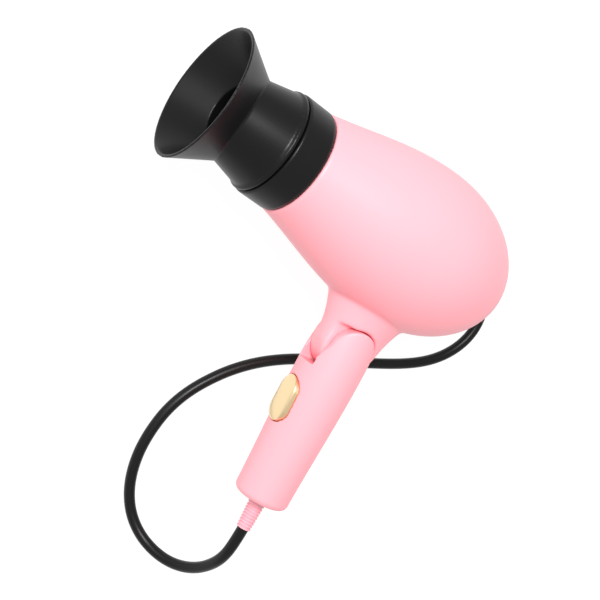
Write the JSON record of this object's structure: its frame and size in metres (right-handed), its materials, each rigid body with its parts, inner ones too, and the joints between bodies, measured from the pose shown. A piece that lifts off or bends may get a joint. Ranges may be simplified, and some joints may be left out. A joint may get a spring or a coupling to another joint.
{
  "type": "hair dryer",
  "caption": "Folding hair dryer with an egg-shaped barrel, flared nozzle, hinged round handle, oval switch and coiled mains cord.",
  "frame": {"origin": "the grip point on the handle's axis, where a hand closes round it", "axes": "+X along the barrel from the nozzle to the rear intake, +Y from the handle's butt to the barrel, +Z square to the mid-plane, up from the surface the cord lies on"},
  "size_m": [0.2617, 0.2728, 0.11],
  "materials": {
    "pink_shell": "satin",
    "pink_rubber": "matte",
    "black_shell": "satin",
    "black_plastic": "matte",
    "gold": "satin plated",
    "steel": "plain",
    "mica": "mica board",
    "board": "circuit board",
    "cord": "satin",
    "cord_tie": "matte",
    "plug": "matte",
    "pins": "nickel"
  },
  "bodies": {
    "handle": {"handle_shell_left": "pink_shell", "handle_shell_right": "pink_shell", "hinge_pin": "steel", "switch_body": "black_plastic", "diode_board": "board", "cord_clamp": "black_plastic", "clamp_screws": "steel", "handle_screws": "steel", "strain_relief": "pink_rubber", "cord_tube": "cord", "cord_coil": "cord", "cord_tie": "cord_tie", "cord_tail": "cord", "plug_body": "plug", "plug_pins": "pins"},
    "barrel": {"barrel_shell_left": "pink_shell", "barrel_shell_right": "pink_shell", "outlet_ring": "black_shell", "outlet_grille": "black_shell", "mica_liner": "mica", "heater_boards": "mica", "heater_wire": "steel", "thermal_cutout": "steel", "fan_housing": "black_plastic", "motor": "steel", "intake_grille": "black_shell", "barrel_screws": "steel"},
    "nozzle": {"nozzle": "black_shell"},
    "fan": {"motor_shaft": "steel", "fan_wheel": "black_plastic"},
    "switch": {"switch_button": "gold"}
  },
  "joints": [
    {"name": "handle_fold", "type": "hinge", "parent": "handle", "child": "barrel", "pos_m": [-0.0073, 0.0495, 0], "axis": [0, 0, 1], "range_deg": [0, 70]},
    {"name": "nozzle_turn", "type": "hinge", "parent": "barrel", "child": "nozzle", "pos_m": [-0.0908, 0.1145, 0], "axis": [1, 0, 0], "continuous": true},
    {"name": "fan_spin", "type": "hinge", "parent": "barrel", "child": "fan", "pos_m": [-0.0908, 0.1145, 0], "axis": [1, 0, 0], "continuous": true},
    {"name": "switch_press", "type": "slide", "parent": "handle", "child": "switch", "axis": [0.9925, 0.1219, 0], "range_m": [0, 0.0015], "stiffness_N_per_m": 400}
  ]
}
